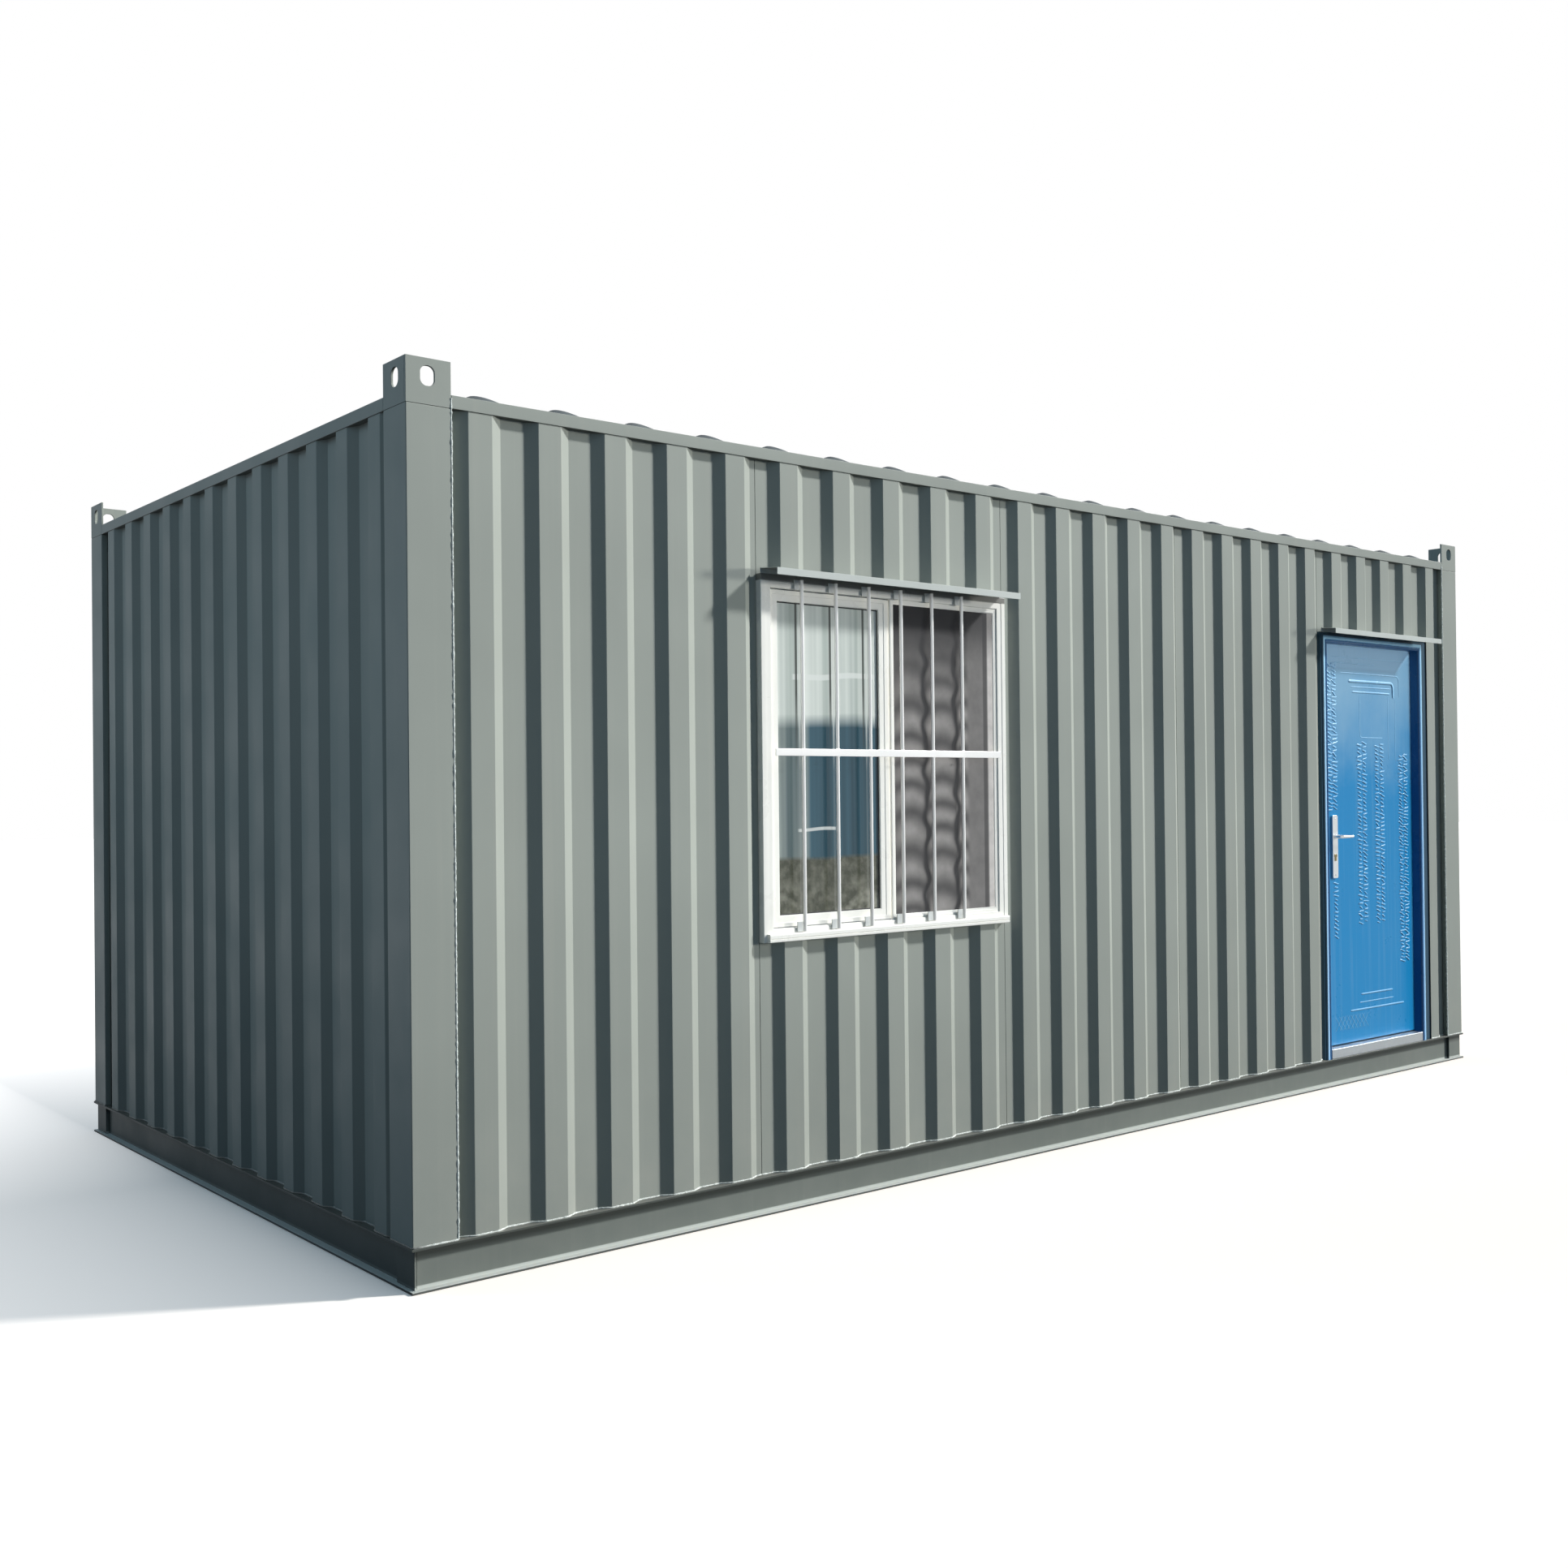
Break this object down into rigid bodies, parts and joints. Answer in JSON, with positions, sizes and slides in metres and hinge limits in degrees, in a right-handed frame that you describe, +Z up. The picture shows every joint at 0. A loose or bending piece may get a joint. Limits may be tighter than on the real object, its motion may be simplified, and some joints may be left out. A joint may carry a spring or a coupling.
{
  "type": "container house",
  "caption": "Box-shaped steel cabin with corrugated walls and roof on a channel base frame, a barred sliding window, a hinged door and corner lifting lugs.",
  "frame": {"origin": "on the ground under the middle of the cabin's box, hood over the window included", "axes": "+X along the front from the window end to the door end, +Y from the front to the back, +Z up"},
  "size_m": [6, 3.085, 2.687],
  "materials": {
    "grey_painted_steel": "grey-green gloss paint, slightly dusty",
    "floor_steel": "dark primer",
    "floor_board": "sealed board",
    "wall_panel": "white wall board",
    "white_window_profile": "white window profile, satin",
    "white_painted_steel": "white paint",
    "window_glass": "clear pane",
    "screen_mesh": "grey fly mesh",
    "blue_painted_steel": "blue gloss paint, embossed",
    "threshold_metal": "brushed sill plate",
    "handle_metal": "satin",
    "cylinder_metal": "worn",
    "hinge_steel": "satin"
  },
  "bodies": {
    "cabin": {"front_bottom_rail": "grey_painted_steel", "back_bottom_rail": "grey_painted_steel", "end_bottom_rails": "grey_painted_steel", "corner_feet": "grey_painted_steel", "floor_cross_members": "floor_steel", "floor_board": "floor_board", "corner_posts_front": "grey_painted_steel", "corner_posts_back": "grey_painted_steel", "lifting_plates_front_back": "grey_painted_steel", "lifting_plates_ends": "grey_painted_steel", "front_top_rail": "grey_painted_steel", "back_top_rail": "grey_painted_steel", "end_top_rails": "grey_painted_steel", "roof_sheet": "grey_painted_steel", "ceiling": "wall_panel", "front_sheet_left": "grey_painted_steel", "front_sheet_over_window": "grey_painted_steel", "front_sheet_under_window": "grey_painted_steel", "front_sheet_middle": "grey_painted_steel", "front_sheet_right": "grey_painted_steel", "front_sheet_over_door": "grey_painted_steel", "front_sheet_beside_door": "grey_painted_steel", "left_wall_sheet": "grey_painted_steel", "right_wall_sheet": "grey_painted_steel", "back_wall_sheet": "grey_painted_steel", "front_lining": "wall_panel", "end_linings": "wall_panel", "back_lining": "wall_panel", "window_frame": "white_window_profile", "window_sashes": "white_window_profile", "window_panes": "window_glass", "fly_screen_frame": "white_window_profile", "fly_screen_mesh": "screen_mesh", "window_sill": "white_window_profile", "window_bars": "white_painted_steel", "window_hood": "grey_painted_steel", "door_frame": "blue_painted_steel", "door_threshold": "threshold_metal", "door_hood": "grey_painted_steel", "door_hinges": "hinge_steel"},
    "door": {"door_leaf": "blue_painted_steel", "door_hinge_leaves": "hinge_steel", "handle_plates": "handle_metal", "key_cylinder": "cylinder_metal"},
    "door_lever": {"door_lever": "handle_metal"}
  },
  "joints": [
    {"name": "door_hinge", "type": "hinge", "parent": "cabin", "child": "door", "pos_m": [2.6125, -1.353, 0.18], "axis": [0, 0, -1], "range_deg": [0, 95]},
    {"name": "lever_turn", "type": "hinge", "parent": "door", "child": "door_lever", "pos_m": [1.881, -1.4025, 1.186], "axis": [0, 1, 0], "range_deg": [0, 40], "stiffness_Nm_per_rad": 1.5, "springref_deg": -20.05}
  ]
}
